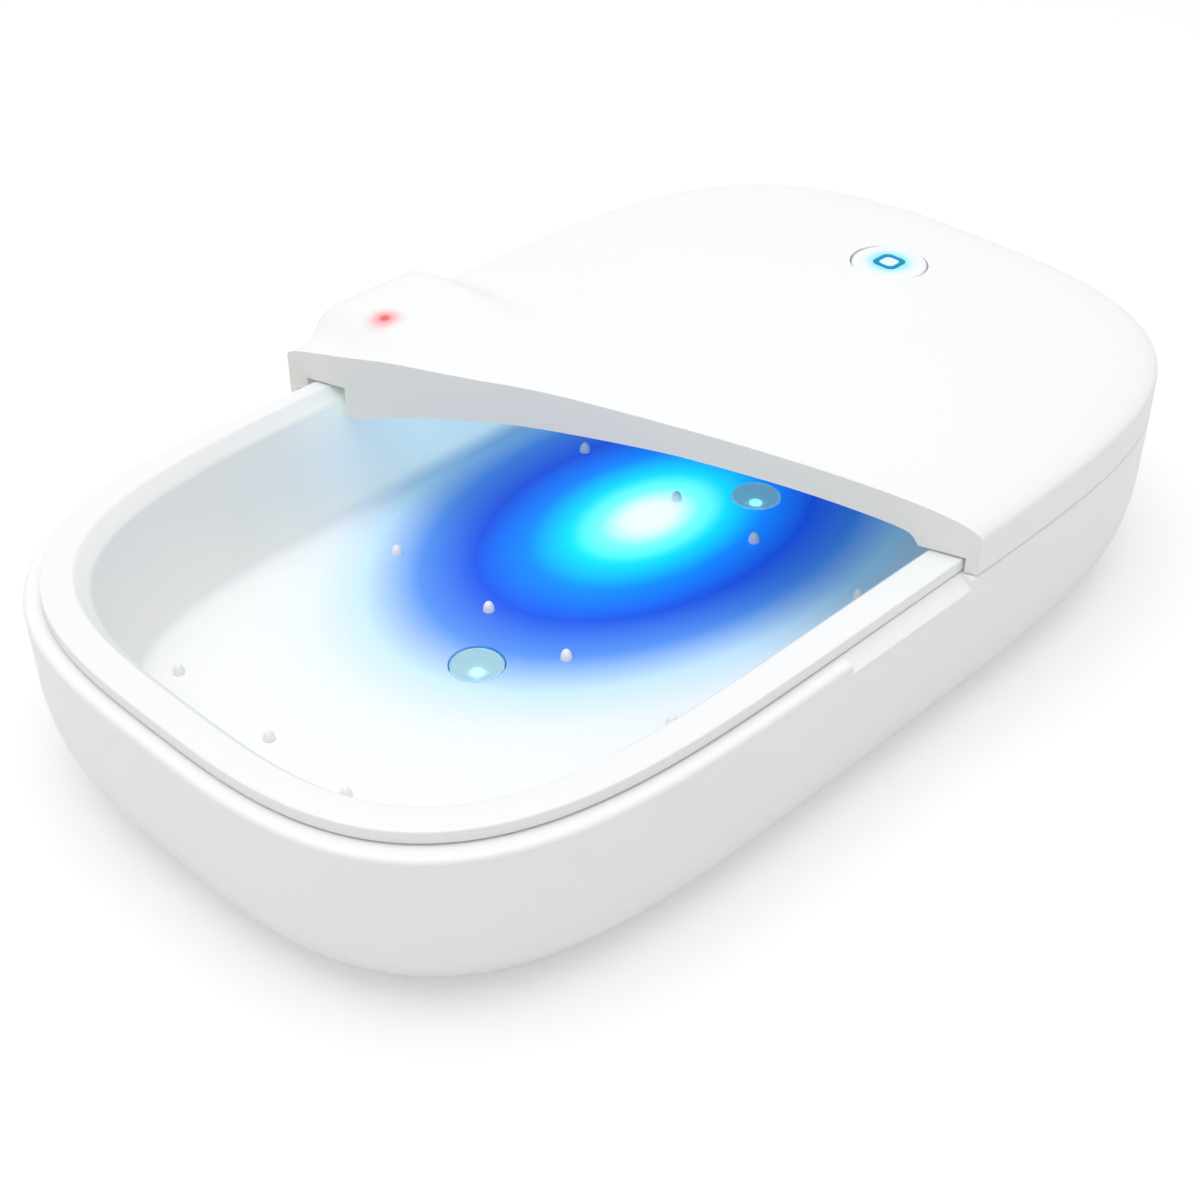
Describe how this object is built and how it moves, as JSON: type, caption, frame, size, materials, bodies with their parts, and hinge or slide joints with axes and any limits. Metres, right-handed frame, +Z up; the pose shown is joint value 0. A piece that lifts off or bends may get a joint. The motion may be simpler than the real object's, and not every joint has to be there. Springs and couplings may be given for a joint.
{
  "type": "uv sanitizer box",
  "caption": "Rounded clamshell box that disinfects a phone with ultraviolet lamps; hinged lid shown cut away, sprung power button on top, tub with pegs inside.",
  "frame": {"origin": "middle of the bounding box, on the plane that the rubber feet stand on", "axes": "+X along the length towards the end with the power button, +Y towards the hinge, +Z up"},
  "size_m": [0.214, 0.1365, 0.0482],
  "materials": {
    "case_white": "satin gloss moulding",
    "inner_white": "satin moulding that reflects the lamps",
    "section_grey": "plain matt face of the cut",
    "foot_rubber": "soft pale rubber",
    "steel": "plated",
    "board_green": "solder mask",
    "chip_black": "moulded package",
    "magnet_grey": "nickel plated",
    "window_clear": "polished quartz",
    "uv_lamp": "lit lamp",
    "indicator_red": "lit lamp",
    "icon_teal": "lit light guide"
  },
  "bodies": {
    "base": {"base_shell": "case_white", "bottom_cover": "inner_white", "foot_front_left": "foot_rubber", "foot_front_right": "foot_rubber", "foot_rear_left": "foot_rubber", "foot_rear_right": "foot_rubber", "cover_screw_front_left": "steel", "cover_screw_front_right": "steel", "cover_screw_rear_left": "steel", "cover_screw_rear_right": "steel", "chamber_tub": "inner_white", "floor_window_left": "window_clear", "floor_window_right": "window_clear", "floor_uv_led_left": "uv_lamp", "floor_uv_led_right": "uv_lamp", "main_board": "board_green", "lamp_driver_chip": "chip_black", "power_socket": "steel", "base_magnet_left": "magnet_grey", "base_magnet_right": "magnet_grey", "hinge_knuckle_left": "case_white", "hinge_knuckle_right": "case_white", "hinge_pin": "steel"},
    "lid": {"lid_shell": "case_white", "lid_liner": "inner_white", "section_plate": "section_grey", "liner_screw_front_near": "steel", "liner_screw_rear_near": "steel", "liner_screw_front_far": "steel", "liner_screw_rear_far": "steel", "lid_board": "board_green", "ceiling_uv_led_near": "uv_lamp", "ceiling_uv_led_far": "uv_lamp", "ceiling_window_near": "window_clear", "ceiling_window_far": "window_clear", "indicator_led": "indicator_red", "lid_magnet": "magnet_grey", "button_switch": "chip_black"},
    "button": {"button_cap": "case_white", "button_icon": "icon_teal"}
  },
  "joints": [
    {"name": "lid_hinge", "type": "hinge", "parent": "base", "child": "lid", "pos_m": [0, 0.06425, 0.0372], "axis": [-1, 0, 0], "range_deg": [0, 95]},
    {"name": "power_button", "type": "slide", "parent": "lid", "child": "button", "axis": [0, 0, -1], "range_m": [0, 0.0005], "stiffness_N_per_m": 1500}
  ]
}
